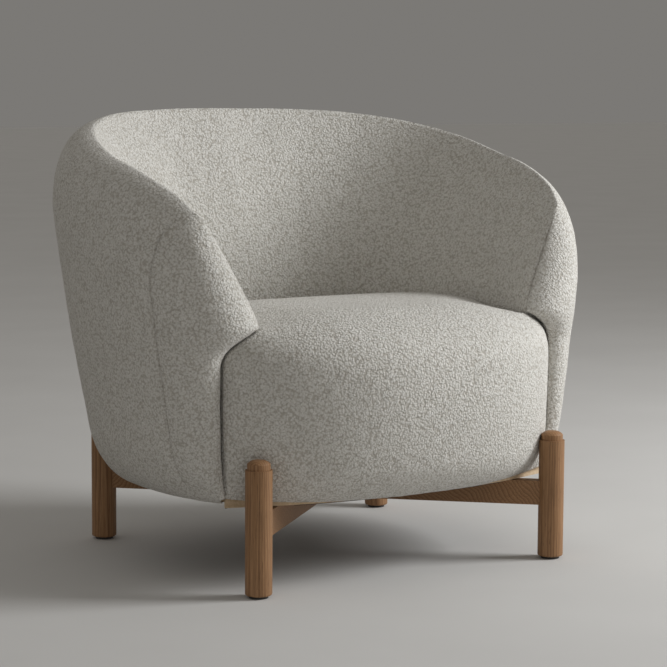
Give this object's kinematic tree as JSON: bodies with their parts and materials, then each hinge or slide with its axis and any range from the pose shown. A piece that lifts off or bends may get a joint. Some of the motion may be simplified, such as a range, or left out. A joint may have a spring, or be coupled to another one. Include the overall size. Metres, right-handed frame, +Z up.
{
  "type": "tub chair",
  "caption": "Low upholstered tub chair: a curved padded back that runs round into the arms, a tight rounded seat, and turned wooden legs joined by crossed rails.",
  "frame": {"origin": "centre of the chair's bounding box, on the floor", "axes": "+Z up; -Y is the front, where one sits down; +X is the sitter's left arm seen from behind, the right arm seen from the front"},
  "size_m": [0.8758, 0.741, 0.735],
  "materials": {
    "boucle": "matte",
    "oak": "satin",
    "beech": "matte",
    "plywood": "matte",
    "hardboard": "matte",
    "foam": "matte",
    "webbing": "matte",
    "dust_cloth": "matte",
    "zinc_plated_steel": "satin",
    "nylon": "matte"
  },
  "bodies": {
    "root": {"leg_front_left": "oak", "leg_front_right": "oak", "leg_back_left": "oak", "leg_back_right": "oak", "leg_glides": "nylon", "cross_rail_left": "oak", "cross_rail_right": "oak", "rail_dowels": "beech", "base_bolts": "zinc_plated_steel", "base_washers": "zinc_plated_steel", "base_tee_nuts": "zinc_plated_steel", "base_board": "plywood", "dust_cover": "dust_cloth", "seat_rail_front": "beech", "seat_rail_back": "beech", "seat_rail_left": "beech", "seat_rail_right": "beech", "seat_rail_corner_left": "beech", "seat_rail_corner_right": "beech", "seat_corner_blocks": "beech", "rib_back_middle": "plywood", "rib_back_left": "plywood", "rib_back_right": "plywood", "rib_corner_left": "plywood", "rib_corner_right": "plywood", "rib_side_left": "plywood", "rib_side_right": "plywood", "arm_post_left": "plywood", "arm_post_right": "plywood", "top_rail": "plywood", "back_lining": "hardboard", "seat_webbing_long": "webbing", "seat_webbing_cross": "webbing", "seat_foam": "foam", "seat_front_foam": "foam", "back_padding": "foam", "arm_front_foam_left": "foam", "arm_front_foam_right": "foam", "back_cover": "boucle", "arm_front_cover_left": "boucle", "arm_front_cover_right": "boucle", "seat_cover": "boucle"}
  },
  "joints": []
}
